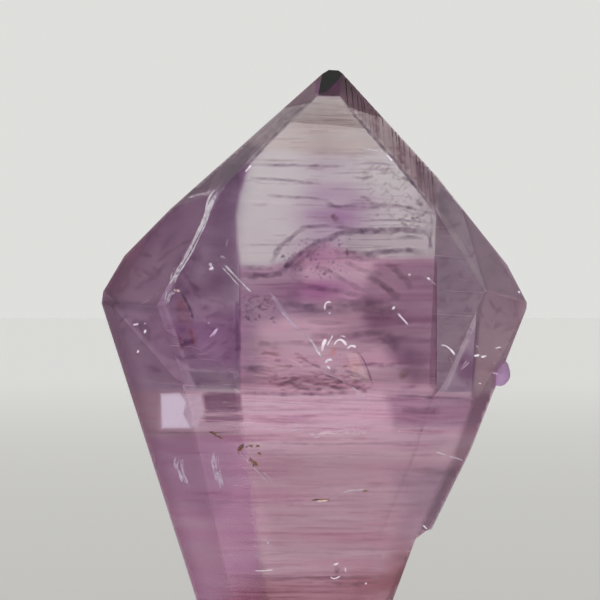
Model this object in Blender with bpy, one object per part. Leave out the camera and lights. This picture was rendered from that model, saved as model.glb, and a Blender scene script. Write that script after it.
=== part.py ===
"""Single quartz crystal point with a steep tip, a tapering stepped body and a flat cut base.

Lengths in the constants are millimetres and angles are degrees.
The finished object is in metres, +Z up, standing on its base with the broad flat face toward -Y.
"""
import math

import bmesh
import bpy
from mathutils import Matrix
from mathutils import Vector

MM = 0.001
NAME = "amethyst_crystal"

# The crystal's long axis leans to +X, and every face is given about that axis.
LEAN = 3.25

# Each face: azimuth of its outward normal from the front (-Y) toward +X, the rise of that
# normal above the plane across the axis, and how far the face lies from the axis foot.
TOP_FACES = {
    "front_face": (0.0, 1.0, 3.07),
    "tip_facet": (0.0, 43.0, 35.69),
    "left_strip": (-49.2, 35.3, 31.61),
    "right_strip": (42.8, 33.1, 28.31),
    "back_face": (-178.9, 19.3, 19.81),
    "left_flank": (-149.4, 16.6, 21.58),
    "right_flank": (138.7, 15.7, 21.70),
    "left_roof": (-107.7, 44.7, 38.10),
    "right_roof": (114.6, 44.0, 35.99),
    "back_roof": (180.0, 40.0, 33.87),
    "left_shoulder": (-42.9, 18.2, 21.50),
    "right_shoulder": (52.0, 28.5, 26.43),
}
BODY_FACES = {
    "body_front": (0.0, -7.0, -0.25),
    "body_back": (180.0, -8.0, 9.17),
    "body_front_left": (-42.6, -15.5, 4.07),
    "body_back_left": (-135.5, -14.0, 8.76),
    "body_front_right": (46.8, -14.5, 2.75),
    "body_back_right": (117.7, -15.5, 7.67),
    "body_low_front_right": (46.8, -18.5, 1.38),
    "body_low_back_right": (117.7, -19.5, 6.14),
}
BLOCK_SIZE = 160.0

# Growth steps ring the tapering body. Each is a riser that leans less than the taper and
# ends in a narrow ledge facing down.
STEP_TOP = 23.6
STEP_BOTTOM = 0.4
STEP_HEIGHT = 0.52
STEP_SWING = 0.20
STEP_PERIOD = 2.7
STEP_OUT = 0.06
LEDGE_HEIGHT = 0.05
BAND_HEIGHTS = (23.4, 20.3)
BAND_OUT = 0.15

# A step broken into the lower right of the body, as (x, z) from the foot of the axis.
BREAK_OUTLINE = ((10.20, 10.50), (9.25, 9.85), (7.30, 4.40), (5.75, -1.00), (16.0, -1.0), (16.0, 11.8))
BREAK_DEPTH = 30.0

# The second small crystal on the right side, growing parallel to the main one.
BUD_PLACE = (16.75, 3.20, 24.60)
BUD_RADIUS = 1.40
BUD_HALF_PRISM = 0.40
BUD_POINT = 1.30

# Flakes knocked out of the edge between the front face and the left shoulder.
CHIP_EDGE_TOP = (-8.49, -2.40, 41.75)
CHIP_EDGE_FOOT = (-13.88, -2.55, 31.60)
CHIP_COUNT = 13
CHIP_SIZE = 0.74
CHIP_SWING = 0.22
CHIP_BITE = 0.30
CHIP_STRETCH = 1.3

# Steep growth grooves across the right strip, from its outer ridge to its inner edge.
GROOVE_RIDGE = ((2.40, 0.00, 52.30), (11.21, 0.60, 42.74))
GROOVE_EDGE = ((2.18, -2.20, 49.95), (10.95, -2.40, 39.46))
GROOVE_PLACES = (0.04, 0.16, 0.23, 0.28, 0.35, 0.52, 0.59, 0.64, 0.77, 0.82, 0.92)
GROOVE_SLANT = 0.05
GROOVE_DEPTH = 0.16
GROOVE_DEPTH_SWING = 0.06
GROOVE_WIDTH = 0.42
GROOVE_REACH = 0.25

MERGE = 1e-5


def face_normal(azimuth, rise):
    """Outward unit normal of a face given by its azimuth and rise."""
    turn = math.radians(azimuth)
    lift = math.radians(rise)
    level = math.cos(lift)
    return Vector((math.sin(turn) * level, -math.cos(turn) * level, math.sin(lift)))


def everything(mesh):
    """All elements of a mesh, as the cutting call wants them."""
    return mesh.verts[:] + mesh.edges[:] + mesh.faces[:]


def cut_away(mesh, normal, distance):
    """Cuts off what lies beyond a plane and closes the cut with a face."""
    bmesh.ops.bisect_plane(
        mesh,
        geom=everything(mesh),
        dist=MERGE,
        plane_co=normal * distance,
        plane_no=normal,
        clear_outer=True,
    )
    rim = [edge for edge in mesh.edges if edge.is_boundary]
    if rim:
        bmesh.ops.contextual_create(mesh, geom=rim)


def cut_ring(mesh, height):
    """Adds a ring of points round the body at one height and returns them."""
    cut = bmesh.ops.bisect_plane(
        mesh,
        geom=everything(mesh),
        dist=MERGE,
        plane_co=(0.0, 0.0, height),
        plane_no=(0.0, 0.0, 1.0),
    )
    return [item for item in cut["geom_cut"] if isinstance(item, bmesh.types.BMVert)]


def push_ring_out(ring, amount):
    """Moves a ring of points outward so that each side of it shifts by the same amount."""
    middle = sum((point.co for point in ring), Vector()) / len(ring)
    ring = sorted(ring, key=lambda point: math.atan2(point.co.y - middle.y, point.co.x - middle.x))
    moves = []
    for index, point in enumerate(ring):
        before = (point.co - ring[index - 1].co).normalized()
        after = (ring[(index + 1) % len(ring)].co - point.co).normalized()
        side_before = Vector((before.y, -before.x, 0.0))
        side_after = Vector((after.y, -after.x, 0.0))
        moves.append((side_before + side_after) * (amount / (1.0 + side_before.dot(side_after))))
    for point, move in zip(ring, moves):
        point.co += move


def step_heights():
    """Heights of the ledges down the body, from a spacing that swings in a slow wave."""
    heights = []
    height = STEP_TOP
    while height > STEP_BOTTOM:
        heights.append(height)
        height -= STEP_HEIGHT + STEP_SWING * math.sin(len(heights) * STEP_PERIOD)
    return heights


def add_growth_steps(mesh):
    """Turns the smooth taper into risers and narrow ledges."""
    for height in step_heights():
        near_band = min(abs(height - band) for band in BAND_HEIGHTS) < STEP_HEIGHT / 2.0
        cut_ring(mesh, height)
        ring = cut_ring(mesh, height + LEDGE_HEIGHT)
        push_ring_out(ring, BAND_OUT if near_band else STEP_OUT)


def mesh_object(mesh, name):
    """Makes an object from the working mesh."""
    bmesh.ops.recalc_face_normals(mesh, faces=mesh.faces[:])
    data = bpy.data.meshes.new(name)
    mesh.to_mesh(data)
    mesh.free()
    item = bpy.data.objects.new(name, data)
    bpy.context.scene.collection.objects.link(item)
    return item


def faceted_body():
    """The main crystal, cut face by face from a block."""
    mesh = bmesh.new()
    bmesh.ops.create_cube(mesh, size=BLOCK_SIZE)
    for azimuth, rise, distance in list(TOP_FACES.values()) + list(BODY_FACES.values()):
        cut_away(mesh, face_normal(azimuth, rise), distance)
    add_growth_steps(mesh)
    lean = Matrix.Rotation(math.radians(LEAN), 4, "Y")
    bmesh.ops.transform(mesh, matrix=lean, verts=mesh.verts[:])
    cut_away(mesh, Vector((0.0, 0.0, -1.0)), 0.0)
    return mesh_object(mesh, NAME)


def break_cutter():
    """A prism through the whole depth that takes out the broken step."""
    mesh = bmesh.new()
    near = [mesh.verts.new((x, -BREAK_DEPTH, z)) for x, z in BREAK_OUTLINE]
    mesh.faces.new(near)
    grown = bmesh.ops.extrude_face_region(mesh, geom=mesh.faces[:])
    moved = [item for item in grown["geom"] if isinstance(item, bmesh.types.BMVert)]
    bmesh.ops.translate(mesh, verts=moved, vec=(0.0, 2.0 * BREAK_DEPTH, 0.0))
    return mesh_object(mesh, "broken_step")


def bud():
    """The small six-sided crystal, pointed at both ends."""
    mesh = bmesh.new()
    rings = []
    for height in (-BUD_HALF_PRISM, BUD_HALF_PRISM):
        ring = []
        for corner in range(6):
            turn = math.radians(60.0 * corner + 30.0)
            place = (BUD_RADIUS * math.cos(turn), BUD_RADIUS * math.sin(turn), height)
            ring.append(mesh.verts.new(place))
        rings.append(ring)
    foot = mesh.verts.new((0.0, 0.0, -BUD_HALF_PRISM - BUD_POINT))
    top = mesh.verts.new((0.0, 0.0, BUD_HALF_PRISM + BUD_POINT))
    for corner in range(6):
        following = (corner + 1) % 6
        mesh.faces.new((rings[0][corner], rings[0][following], rings[1][following], rings[1][corner]))
        mesh.faces.new((rings[0][following], rings[0][corner], foot))
        mesh.faces.new((rings[1][corner], rings[1][following], top))
    placed = Matrix.Translation(BUD_PLACE) @ Matrix.Rotation(math.radians(LEAN), 4, "Y")
    bmesh.ops.transform(mesh, matrix=placed, verts=mesh.verts[:])
    return mesh_object(mesh, "bud")


def chip_cutter(index):
    """One flake scar: a squat octahedron biting into the edge."""
    along = (index + 0.5) / CHIP_COUNT
    place = Vector(CHIP_EDGE_TOP).lerp(Vector(CHIP_EDGE_FOOT), along)
    size = CHIP_SIZE + CHIP_SWING * math.sin(index * 2.3)
    bite = CHIP_BITE * (1.0 + 0.3 * math.sin(index * 3.1))
    outward = Vector((-0.40, -1.0, 0.15)).normalized() * (size - bite)
    mesh = bmesh.new()
    bmesh.ops.create_icosphere(mesh, subdivisions=1, radius=size)
    stretched = Matrix.Diagonal((1.0, 1.0, CHIP_STRETCH, 1.0))
    turned = Matrix.Rotation(index * 1.3, 4, "Z") @ stretched
    placed = Matrix.Translation(place + outward) @ turned
    bmesh.ops.transform(mesh, matrix=placed, verts=mesh.verts[:])
    return mesh_object(mesh, "chip")


def groove_cutter(index):
    """A three-sided bar that presses one groove into the right strip."""
    along = GROOVE_PLACES[index]
    ridge_top, ridge_foot = (Vector(point) for point in GROOVE_RIDGE)
    edge_top, edge_foot = (Vector(point) for point in GROOVE_EDGE)
    start = ridge_top.lerp(ridge_foot, along)
    end = edge_top.lerp(edge_foot, along + GROOVE_SLANT)
    run = (end - start).normalized()
    outward = run.cross(ridge_foot - ridge_top).normalized()
    if outward.y > 0.0:
        outward = -outward
    side = run.cross(outward)
    depth = GROOVE_DEPTH + GROOVE_DEPTH_SWING * math.sin(index * 2.9)
    profile = (
        -outward * depth,
        outward * depth + side * GROOVE_WIDTH,
        outward * depth - side * GROOVE_WIDTH,
    )
    mesh = bmesh.new()
    near = [mesh.verts.new(start - run * GROOVE_REACH + shift) for shift in profile]
    far = [mesh.verts.new(end + run * GROOVE_REACH + shift) for shift in profile]
    mesh.faces.new(near)
    mesh.faces.new(list(reversed(far)))
    for corner in range(3):
        following = (corner + 1) % 3
        mesh.faces.new((near[corner], near[following], far[following], far[corner]))
    return mesh_object(mesh, "groove")


def combine(body, other, operation):
    """Joins or cuts with an exact solid operation and drops the second solid."""
    step = body.modifiers.new(operation.lower(), "BOOLEAN")
    step.operation = operation
    step.solver = "EXACT"
    step.object = other
    bpy.context.view_layer.objects.active = body
    bpy.ops.object.modifier_apply(modifier=step.name)
    bpy.data.objects.remove(other, do_unlink=True)


def finish_mesh(body):
    """Scales to metres, splits faces into triangles and sets the origin under the middle."""
    mesh = bmesh.new()
    mesh.from_mesh(body.data)
    bmesh.ops.remove_doubles(mesh, verts=mesh.verts[:], dist=MERGE)
    bmesh.ops.triangulate(mesh, faces=mesh.faces[:])
    bmesh.ops.recalc_face_normals(mesh, faces=mesh.faces[:])
    low = [min(point.co[axis] for point in mesh.verts) for axis in range(3)]
    high = [max(point.co[axis] for point in mesh.verts) for axis in range(3)]
    middle = Vector(((low[0] + high[0]) / 2.0, (low[1] + high[1]) / 2.0, low[2]))
    bmesh.ops.translate(mesh, verts=mesh.verts[:], vec=-middle)
    bmesh.ops.scale(mesh, verts=mesh.verts[:], vec=(MM, MM, MM))
    mesh.to_mesh(body.data)
    mesh.free()


def crystal_material():
    """Clear violet quartz."""
    stone = bpy.data.materials.new("amethyst")
    stone.use_nodes = True
    surface = stone.node_tree.nodes["Principled BSDF"]
    surface.inputs["Base Color"].default_value = (0.60, 0.38, 0.62, 1.0)
    surface.inputs["Roughness"].default_value = 0.04
    surface.inputs["IOR"].default_value = 1.544
    surface.inputs["Transmission Weight"].default_value = 1.0
    return stone


for leftover in list(bpy.data.objects):
    bpy.data.objects.remove(leftover, do_unlink=True)

crystal = faceted_body()
combine(crystal, break_cutter(), "DIFFERENCE")
for chip_index in range(CHIP_COUNT):
    combine(crystal, chip_cutter(chip_index), "DIFFERENCE")
for groove_index in range(len(GROOVE_PLACES)):
    combine(crystal, groove_cutter(groove_index), "DIFFERENCE")
combine(crystal, bud(), "UNION")
finish_mesh(crystal)
crystal.data.materials.append(crystal_material())
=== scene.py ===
import bpy
import bmesh
import math
import random
from mathutils import Matrix, Vector, noise
from mathutils.bvhtree import BVHTree


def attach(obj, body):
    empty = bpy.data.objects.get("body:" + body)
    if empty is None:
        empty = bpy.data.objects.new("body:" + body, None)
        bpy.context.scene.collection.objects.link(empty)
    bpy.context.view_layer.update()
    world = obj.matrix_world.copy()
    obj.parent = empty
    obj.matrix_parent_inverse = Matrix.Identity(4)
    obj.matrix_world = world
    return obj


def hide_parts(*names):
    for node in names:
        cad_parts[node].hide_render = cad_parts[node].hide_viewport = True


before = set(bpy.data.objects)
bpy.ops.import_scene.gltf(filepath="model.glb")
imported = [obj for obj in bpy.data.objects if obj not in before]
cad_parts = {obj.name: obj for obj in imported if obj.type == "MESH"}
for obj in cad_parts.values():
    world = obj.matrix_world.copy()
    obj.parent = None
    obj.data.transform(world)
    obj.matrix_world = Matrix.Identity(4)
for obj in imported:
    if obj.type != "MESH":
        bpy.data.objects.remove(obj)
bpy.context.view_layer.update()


# The place it is seen from: level with the middle of the crystal, close in front of it, as the
# photograph was taken. Every mark inside the stone is set where this view shows it.
MM = 0.001
TO_ROW = Vector((0.0077, -4.966, 0.0))
VIEW_FROM = 220.0
VIEW_PLACE = Vector((-1.31, -VIEW_FROM, 31.67))
PICTURE = 600
PER_MM = 11.05

camera = bpy.data.objects.new("camera", bpy.data.cameras.new("camera"))
bpy.context.scene.collection.objects.link(camera)
camera.location = (VIEW_PLACE + TO_ROW) * MM
camera.rotation_euler = (math.radians(90.0), 0.0, 0.0)
camera.data.lens = camera.data.sensor_width * VIEW_FROM * PER_MM / PICTURE
camera.data.clip_start = 0.01
bpy.context.scene.camera = camera
bpy.context.scene.view_settings.view_transform = "Standard"
for bounce in ("max_bounces", "transmission_bounces", "transparent_max_bounces"):
    setattr(bpy.context.scene.cycles, bounce, 40)


# The crystal itself: one grown piece of clear violet quartz. Its flat faces are given by
# azimuth from the front, rise and distance from the foot of its leaning long axis, in
# degrees and millimetres, and every face is cut from a block as the growth planes would.
LEAN = math.radians(3.25)
FACES = {
    "front": (0.0, 1.0, 3.07),
    "tip": (0.0, 43.0, 35.69),
    "left_strip": (-49.2, 35.3, 31.61),
    "right_strip": (42.8, 33.1, 28.31),
    "back": (-178.9, 19.3, 19.81),
    "left_flank": (-149.4, 16.6, 21.58),
    "right_flank": (138.7, 15.7, 21.70),
    "left_roof": (-107.7, 44.7, 38.10),
    "right_roof": (114.6, 44.0, 35.99),
    "back_roof": (180.0, 40.0, 33.87),
    "left_shoulder": (-42.9, 18.2, 21.50),
    "right_shoulder": (52.0, 28.5, 26.43),
    "body_front": (0.0, -7.0, -0.25),
    "body_back": (180.0, -8.0, 9.17),
    "body_front_left": (-42.6, -15.5, 4.07),
    "body_back_left": (-135.5, -14.0, 8.76),
    "body_front_right": (46.8, -14.5, 2.75),
    "body_back_right": (117.7, -15.5, 7.67),
    "body_low_front_right": (46.8, -18.5, 1.38),
    "body_low_back_right": (117.7, -19.5, 6.14),
}


def outward(azimuth, rise):
    turn, lift = math.radians(azimuth), math.radians(rise)
    return Vector((math.sin(turn) * math.cos(lift), -math.cos(turn) * math.cos(lift), math.sin(lift)))


def slice_off(mesh, normal, point):
    bmesh.ops.bisect_plane(mesh, geom=mesh.verts[:] + mesh.edges[:] + mesh.faces[:], dist=1e-5,
                           plane_co=point, plane_no=normal, clear_outer=True)
    rim = [edge for edge in mesh.edges if edge.is_boundary]
    if rim:
        bmesh.ops.contextual_create(mesh, geom=rim)


def score(mesh, normal, point):
    cut = bmesh.ops.bisect_plane(mesh, geom=mesh.verts[:] + mesh.edges[:] + mesh.faces[:], dist=1e-5,
                                 plane_co=point, plane_no=normal)
    return [item for item in cut["geom_cut"] if isinstance(item, bmesh.types.BMVert)]


def as_object(mesh, name, *looks):
    data = bpy.data.meshes.new(name)
    mesh.to_mesh(data)
    mesh.free()
    item = bpy.data.objects.new(name, data)
    bpy.context.scene.collection.objects.link(item)
    for look in looks:
        data.materials.append(look)
    return item


def carve(body, cutter, operation):
    step = body.modifiers.new("carve", "BOOLEAN")
    step.operation, step.solver, step.object = operation, "EXACT", cutter
    bpy.context.view_layer.objects.active = body
    bpy.ops.object.modifier_apply(modifier=step.name)
    bpy.data.objects.remove(cutter, do_unlink=True)


# Growth ledges ring the tapering body, each a riser and a narrow shelf that comes and goes
# along its length. Finer ones cross the upper faces.
LEDGE_TOP, LEDGE_FOOT = 23.6, 0.3
LEDGE_STEP, LEDGE_SWING, LEDGE_SHELF = 0.40, 0.20, 0.045
LEDGE_OUT = 0.035
LEDGE_WHOLE, LEDGE_BROKEN, LEDGE_PATCH = 0.65, 0.7, (0.12, 0.3, 2.3)
BANDS = (23.4, 20.3)
BAND_OUT = 0.10
FINE_TOP, FINE_STEP, FINE_OUT = 50.0, 0.42, 0.016
HALF_WIDE, COLUMN = 20.0, 1.4
BLOCK = 160.0

lines = random.Random(7)
crystal_mesh = bmesh.new()
bmesh.ops.create_cube(crystal_mesh, size=BLOCK)
for azimuth, rise, reach in FACES.values():
    way = outward(azimuth, rise)
    slice_off(crystal_mesh, way, way * reach)

# Where later growth healed over an edge it is round, in millimetres from its line: the upright
# edges of the lower body and the lower corners of the front and the right shoulder.
HEALED_EDGES = {
    ("body_front", "body_front_left"): 1.7, ("front", "body_front_left"): 1.2,
    ("body_front", "body_front_right"): 3.2, ("front", "body_front_right"): 2.4,
    ("body_front", "body_low_front_right"): 3.2, ("body_front_right", "body_low_front_right"): 0.5,
    ("front", "right_shoulder"): 2.4, ("body_front_right", "right_shoulder"): 2.4,
    ("right_strip", "right_shoulder"): 0.8, ("body_front_left", "left_shoulder"): 1.2,
    ("back", "right_flank"): 1.6,
    ("body_back", "body_back_left"): 3.2, ("body_back", "body_back_right"): 3.2,
    ("body_back", "body_low_back_right"): 3.2,
}
HEAL_STEPS = 7


def face_name(face):
    return max(FACES, key=lambda name: face.normal.dot(outward(*FACES[name][:2])))


crystal_mesh.normal_update()
for width in sorted(set(HEALED_EDGES.values()), reverse=True):
    healed = []
    for edge in crystal_mesh.edges:
        names = {face_name(face) for face in edge.link_faces}
        if any(set(pair) == names and width == healing for pair, healing in HEALED_EDGES.items()):
            healed.append(edge)
    if healed:
        bmesh.ops.bevel(crystal_mesh, geom=healed, offset=width, segments=HEAL_STEPS, profile=0.5,
                        affect="EDGES", clamp_overlap=True)
        crystal_mesh.normal_update()

crystal = as_object(crystal_mesh, "crystal")

# Carved into it: the step broken out of the lower right side, and steep growth grooves over
# the right strip. A small second crystal stands out behind the right edge.
BREAK_OUTLINE = ((10.20, 10.50), (9.25, 9.85), (7.30, 4.40), (5.75, -1.00), (16.0, -1.0), (16.0, 11.8))
BUD_PLACE = Vector((17.02, 3.20, 25.00))
BUD_SIZE = (1.00, 0.95, 1.22)
BUD_LUMPS, BUD_LUMP_RATE = 0.10, 1.3
GROOVE_RIDGE = (Vector((2.40, 0.00, 52.30)), Vector((11.21, 0.60, 42.74)))
GROOVE_EDGE = (Vector((2.18, -2.20, 49.95)), Vector((10.95, -2.40, 39.46)))
GROOVE_TURN, GROOVE_DEPTH, GROOVE_HALF, GROOVE_RIM, GROOVE_PAST = 0.05, 0.07, 0.26, 0.16, 0.25
GROOVES = ((0.04, 0.10), (0.10, 0.05), (0.16, 0.13), (0.20, 0.06), (0.23, 0.12), (0.28, 0.15),
    (0.31, 0.06), (0.35, 0.22), (0.42, 0.04), (0.52, 0.12), (0.56, 0.06), (0.59, 0.20), (0.64, 0.14),
    (0.70, 0.05), (0.77, 0.20), (0.80, 0.10), (0.84, 0.16), (0.89, 0.07), (0.93, 0.22))
UNLEAN = Matrix.Rotation(-LEAN, 4, "Y")


def prism(name, near, far):
    mesh = bmesh.new()
    front = [mesh.verts.new(point) for point in near]
    rear = [mesh.verts.new(point) for point in far]
    mesh.faces.new(front)
    mesh.faces.new(list(reversed(rear)))
    for index in range(len(front)):
        following = (index + 1) % len(front)
        mesh.faces.new((front[following], front[index], rear[index], rear[following]))
    bmesh.ops.transform(mesh, matrix=UNLEAN, verts=mesh.verts[:])
    bmesh.ops.recalc_face_normals(mesh, faces=mesh.faces[:])
    return as_object(mesh, name)


carve(crystal, prism("break", [(x, -30.0, z) for x, z in BREAK_OUTLINE],
                     [(x, 30.0, z) for x, z in BREAK_OUTLINE]), "DIFFERENCE")
whole_mesh = bmesh.new()
whole_mesh.from_mesh(crystal.data)
outside = BVHTree.FromBMesh(whole_mesh)
whole_mesh.free()
for along, depth in GROOVES:
    start = GROOVE_RIDGE[0].lerp(GROOVE_RIDGE[1], along)
    end = GROOVE_EDGE[0].lerp(GROOVE_EDGE[1], along + GROOVE_TURN)
    run = (end - start).normalized()
    out = run.cross(GROOVE_RIDGE[0] - GROOVE_RIDGE[1]).normalized()
    out = -out if out.y > 0.0 else out
    side = run.cross(out)
    depth *= GROOVE_DEPTH
    half = side * (GROOVE_HALF + depth)
    profile = (-out * depth, out * GROOVE_RIM + half, out * GROOVE_RIM - half)
    carve(crystal, prism("groove", [start - run * GROOVE_PAST + shift for shift in profile],
                         [end + run * GROOVE_PAST + shift for shift in profile]), "DIFFERENCE")
bud_mesh = bmesh.new()
bmesh.ops.create_icosphere(bud_mesh, subdivisions=4, radius=1.0, matrix=Matrix.Diagonal((*BUD_SIZE, 1.0)))
for point in bud_mesh.verts:
    point.co *= 1.0 + BUD_LUMPS * noise.noise(point.co * BUD_LUMP_RATE)
bmesh.ops.transform(bud_mesh, matrix=UNLEAN @ Matrix.Translation(BUD_PLACE), verts=bud_mesh.verts[:])
carve(crystal, as_object(bud_mesh, "bud"), "UNION")

crystal_mesh = bmesh.new()
crystal_mesh.from_mesh(crystal.data)
bpy.data.objects.remove(crystal, do_unlink=True)
up = Vector((0.0, 0.0, 1.0))
pushes = {}
height = LEDGE_TOP
while height > LEDGE_FOOT:
    banded = min(abs(height - band) for band in BANDS) < LEDGE_STEP / 2.0
    score(crystal_mesh, up, up * height)
    push = BAND_OUT if banded else LEDGE_OUT * lines.uniform(0.25, 1.0)
    for point in score(crystal_mesh, up, up * (height + LEDGE_SHELF)):
        pushes[round(point.co.z, 3)] = push
    height -= LEDGE_STEP + LEDGE_SWING * lines.uniform(-1.0, 1.0)
height = LEDGE_TOP + 1.0
while height < FINE_TOP:
    score(crystal_mesh, up, up * height)
    for point in score(crystal_mesh, up, up * (height + LEDGE_SHELF)):
        pushes[round(point.co.z, 3)] = FINE_OUT * lines.uniform(-1.0, 1.0)
    height += FINE_STEP * lines.uniform(0.5, 1.8)
across = Vector((1.0, 0.0, 0.0))
column = -HALF_WIDE
while column < HALF_WIDE:
    score(crystal_mesh, across, across * column)
    column += COLUMN * lines.uniform(0.7, 1.3)
crystal_mesh.normal_update()
for point in crystal_mesh.verts:
    push = pushes.get(round(point.co.z, 3), 0.0)
    if push:
        sides = {tuple(round(part, 3) for part in face.normal) for face in point.link_faces}
        if point.co.z > LEDGE_TOP + 0.5 and any(side[1] > -0.95 for side in sides):
            continue
        way = sum((Vector(side) for side in sides), Vector())
        way.z = 0.0
        patch = noise.noise([place * rate for place, rate in zip(point.co, LEDGE_PATCH)])
        fade = LEDGE_WHOLE + LEDGE_BROKEN * patch
        if way.length > 0.2:
            way.normalize()
            point.co += way * push * max(0.0, fade) * way.y ** 2
bmesh.ops.transform(crystal_mesh, matrix=Matrix.Rotation(LEAN, 4, "Y"), verts=crystal_mesh.verts[:])
slice_off(crystal_mesh, -up, Vector())
bmesh.ops.recalc_face_normals(crystal_mesh, faces=crystal_mesh.faces[:])


class Field:
    """A shader socket that can be added, multiplied and passed on like a number."""

    def __init__(self, tree, socket=None):
        self.tree, self.socket = tree, socket

    def node(self, kind, settings=None, values=None, out=0):
        made = self.tree.nodes.new(kind)
        for name, value in (settings or {}).items():
            setattr(made, name, value)
        for name, value in (values or {}).items():
            if isinstance(value, Field):
                self.tree.links.new(value.socket, made.inputs[name])
            else:
                made.inputs[name].default_value = value
        return Field(self.tree, made.outputs[out])

    def math(self, operation, other):
        return self.node("ShaderNodeMath", {"operation": operation}, {0: self, 1: other})

    def __add__(self, other):
        return self.math("ADD", other)

    def __sub__(self, other):
        return self.math("SUBTRACT", other)

    def __rsub__(self, other):
        return self.node("ShaderNodeMath", {"operation": "SUBTRACT"}, {0: other, 1: self})

    def __mul__(self, other):
        return self.math("MULTIPLY", other)

    __radd__, __rmul__ = __add__, __mul__

    def step(self, low, high):
        """0 below low, 1 above high and smooth between; falls instead where low is above high."""
        rising = self.node("ShaderNodeMapRange", {"interpolation_type": "SMOOTHSTEP"},
                           {"Value": self, "From Min": min(low, high), "From Max": max(low, high)})
        return rising if low < high else 1.0 - rising

    def blend(self, first, second):
        """Mixes two colours by this value, and runs on past the second where it is above 1."""
        return self.node("ShaderNodeMix", {"data_type": "RGBA", "clamp_factor": False},
                         {0: self, 6: first, 7: second}, out=2)

    def place(self):
        return self.node("ShaderNodeTexCoord", out=3)

    def scaled(self, scale):
        return self.node("ShaderNodeVectorMath", {"operation": "MULTIPLY"}, {0: self, 1: scale})

    def grain(self, scale, detail, roughness=0.5):
        """A noise of the stone's own, at this place."""
        return self.node("ShaderNodeTexNoise", None,
                         {"Vector": self, "Scale": scale, "Detail": detail, "Roughness": roughness})

    def tint(self, out):
        return self.node("ShaderNodeAttribute", {"attribute_name": "tint"}, out=out)

    def drive(self, surface, name):
        self.tree.links.new(self.socket, surface.inputs[name])


def new_look(name):
    look = bpy.data.materials.new(name)
    look.use_nodes = True
    surface = look.node_tree.nodes["Principled BSDF"]
    return look, surface, Field(look.node_tree)


IOR = 1.544
CLEAR, CLOUDED, BUD_TINT = (1.0, 1.0, 1.0, 1.0), (0.95, 0.90, 0.95, 1.0), (0.66, 0.45, 0.70, 1.0)
BUD_REACH, REAR_REACH, LOW_REACH = (0.0019, 0.0013), (-0.003, 0.001), (0.0300, 0.0170)
REAR_MATT, LOW_MATT, CLOUD_MATT, BUD_MATT = 0.50, 0.22, 0.06, 0.5
STREAKS = (60.0, 90.0, 900.0)

glass, glass_surface, paint = new_look("violet_quartz")
place = paint.place()
rear, low = [paint.node("ShaderNodeSeparateXYZ", None, {0: place}, out=axis) for axis in (1, 2)]
at_bud = paint.node("ShaderNodeVectorMath", {"operation": "DISTANCE"},
                    {0: place, 1: (BUD_PLACE + TO_ROW) * MM}, 1)
bud = at_bud.step(*BUD_REACH)
cloud = place.grain(140.0, 4.0, 0.55)
streaks = place.scaled(STREAKS).grain(1.0, 5.0)
tinted = (cloud + streaks * 0.6).step(0.55, 1.05).blend(CLEAR, CLOUDED)
bud.blend(tinted, BUD_TINT).drive(glass_surface, "Base Color")
matt = rear.step(*REAR_REACH) * REAR_MATT + low.step(*LOW_REACH) * LOW_MATT
matt = matt + cloud.step(0.52, 0.75) * CLOUD_MATT + bud * BUD_MATT
matt.drive(glass_surface, "Roughness")
glass_surface.inputs["IOR"].default_value = IOR
glass_surface.inputs["Transmission Weight"].default_value = 1.0
depth_tint = glass.node_tree.nodes.new("ShaderNodeVolumeAbsorption")
depth_tint.inputs["Color"].default_value = (0.62, 0.30, 0.50, 1.0)
depth_tint.inputs["Density"].default_value = 30.0
glass.node_tree.links.new(depth_tint.outputs[0], glass.node_tree.nodes["Material Output"].inputs["Volume"])

bmesh.ops.translate(crystal_mesh, verts=crystal_mesh.verts[:], vec=TO_ROW)
bmesh.ops.scale(crystal_mesh, verts=crystal_mesh.verts[:], vec=(MM, MM, MM))
crystal = as_object(crystal_mesh, "crystal", glass)
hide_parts("amethyst_crystal")
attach(crystal, "root")


# Growth zones: as the stone grew its violet came and went, and left thin level layers of deeper
# or paler colour inside, just under the faces. The band's dark plum patches are painted shade
# instead. Each has an outline as seen, the name of its tint, how strong it is and how soft its
# edge is. Those of the window end at its two sides.
TINTS = {
    "plum": (0.36, 0.22, 0.36), "violet": (0.62, 0.38, 0.64), "pink": (1.00, 0.70, 0.84),
    "rose": (0.86, 0.60, 0.70), "smoke": (0.72, 0.66, 0.68), "slate": (0.58, 0.54, 0.66),
    "wine": (0.70, 0.45, 0.48), "beige": (0.90, 0.80, 0.75), "orchid": (0.95, 0.62, 0.97),
}
WINDOW_SIDES = (239.0, 437.0)
WINDOW_ZONES = {
    "window_top": (((318, 95), (338, 95), (365, 128), (386, 151), (330, 155), (262, 150), (275, 137)),
        "beige", 0.70, 7),
    "window_right": (((350, 152), (390, 156), (434, 210), (450, 232), (350, 230)), "smoke", 0.12, 8),
    "window_bars": (((345, 228), (450, 230), (450, 257), (346, 254)), "smoke", 0.50, 4),
    "window_low": (((220, 266), (262, 268), (288, 261), (305, 249), (325, 242), (345, 250), (368, 256),
        (400, 258), (460, 258), (460, 391), (220, 391)), "pink", 0.95, 4),
    "low_left": (((220, 265), (268, 268), (292, 258), (303, 275), (300, 302), (276, 322), (220, 327)),
        "slate", 0.80, 7),
    "low_middle": (((292, 262), (322, 242), (360, 256), (372, 300), (300, 302)), "violet", 0.22, 8),
    "low_right": (((376, 262), (420, 256), (470, 256), (470, 385), (412, 385), (388, 352), (370, 334),
        (358, 304)), "plum", 0.68, 8),
    "low_right_blue": (((396, 266), (470, 266), (470, 350), (404, 344)), "slate", 0.25, 10),
    "low_foot": (((220, 367), (300, 372), (400, 369), (460, 372), (460, 391), (220, 391)), "smoke", 0.45,
        5),
}
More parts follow.
